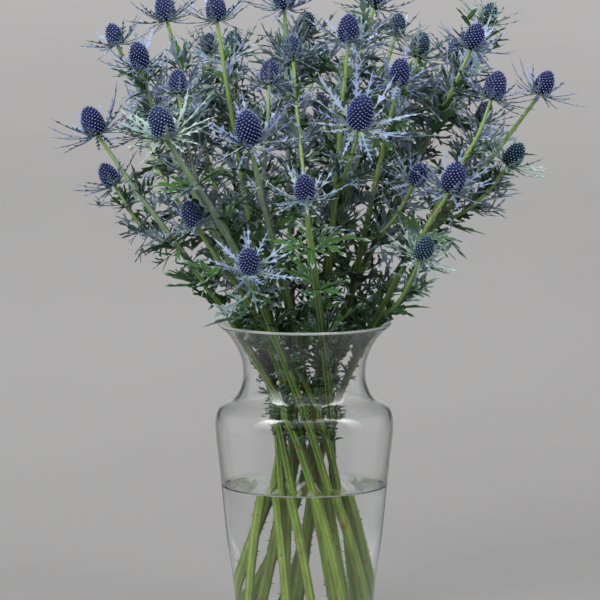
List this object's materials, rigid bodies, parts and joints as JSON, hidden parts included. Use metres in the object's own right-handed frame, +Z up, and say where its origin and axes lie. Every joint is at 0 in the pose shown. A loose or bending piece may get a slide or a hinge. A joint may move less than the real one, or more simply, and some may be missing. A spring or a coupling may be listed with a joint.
{
  "type": "sea holly bunch in a glass vase",
  "caption": "Cut sea holly with spiny bracts and leafy branched stems, standing in a clear urn-shaped glass vase part filled with water.",
  "frame": {"origin": "centre of the vase's base, on the table", "axes": "+Z up the vase's axis, -Y towards the front of the bunch, +X to its right"},
  "size_m": [0.4642, 0.3468, 0.5578],
  "materials": {
    "clear_glass": "polished",
    "water": "polished",
    "stem_green": "satin",
    "bloom_blue": "matte"
  },
  "bodies": {
    "root": {"bloom_back_left_1": "bloom_blue", "bloom_back_left_2": "bloom_blue", "bloom_back_left_3": "bloom_blue", "bloom_back_right_1": "bloom_blue", "bloom_back_right_2": "bloom_blue", "bloom_back_right_3": "bloom_blue", "bloom_far_left_1": "bloom_blue", "bloom_far_left_2": "bloom_blue", "bloom_far_right_1": "bloom_blue", "bloom_far_right_2": "bloom_blue", "bloom_far_right_3": "bloom_blue", "bloom_front_left_1": "bloom_blue", "bloom_front_left_2": "bloom_blue", "bloom_front_mid_left_1": "bloom_blue", "bloom_front_mid_left_2": "bloom_blue", "bloom_front_mid_right_1": "bloom_blue", "bloom_front_mid_right_2": "bloom_blue", "bloom_front_mid_right_3": "bloom_blue", "bloom_front_middle_1": "bloom_blue", "bloom_front_middle_2": "bloom_blue", "bloom_low_left_1": "bloom_blue", "bloom_low_left_2": "bloom_blue", "bloom_low_right_1": "bloom_blue", "bloom_low_right_2": "bloom_blue", "bloom_low_right_3": "bloom_blue", "bloom_middle_1": "bloom_blue", "bloom_middle_2": "bloom_blue", "bloom_middle_3": "bloom_blue", "bloom_rear_left_1": "bloom_blue", "bloom_rear_left_2": "bloom_blue", "bloom_rear_left_3": "bloom_blue", "bloom_rear_left_4": "bloom_blue", "bloom_rear_right_1": "bloom_blue", "bloom_rear_right_2": "bloom_blue", "bloom_rear_right_3": "bloom_blue", "bloom_rear_right_4": "bloom_blue", "bloom_upper_left_1": "bloom_blue", "bloom_upper_left_2": "bloom_blue", "bloom_upper_right_1": "bloom_blue", "bloom_upper_right_2": "bloom_blue", "bloom_upper_right_3": "bloom_blue", "stem_back_left": "stem_green", "stem_back_right": "stem_green", "stem_far_left": "stem_green", "stem_far_right": "stem_green", "stem_front_left": "stem_green", "stem_front_mid_left": "stem_green", "stem_front_mid_right": "stem_green", "stem_front_middle": "stem_green", "stem_low_left": "stem_green", "stem_low_right": "stem_green", "stem_middle": "stem_green", "stem_rear_left": "stem_green", "stem_rear_right": "stem_green", "stem_upper_left": "stem_green", "stem_upper_right": "stem_green", "vase": "clear_glass", "water": "water"}
  },
  "joints": []
}
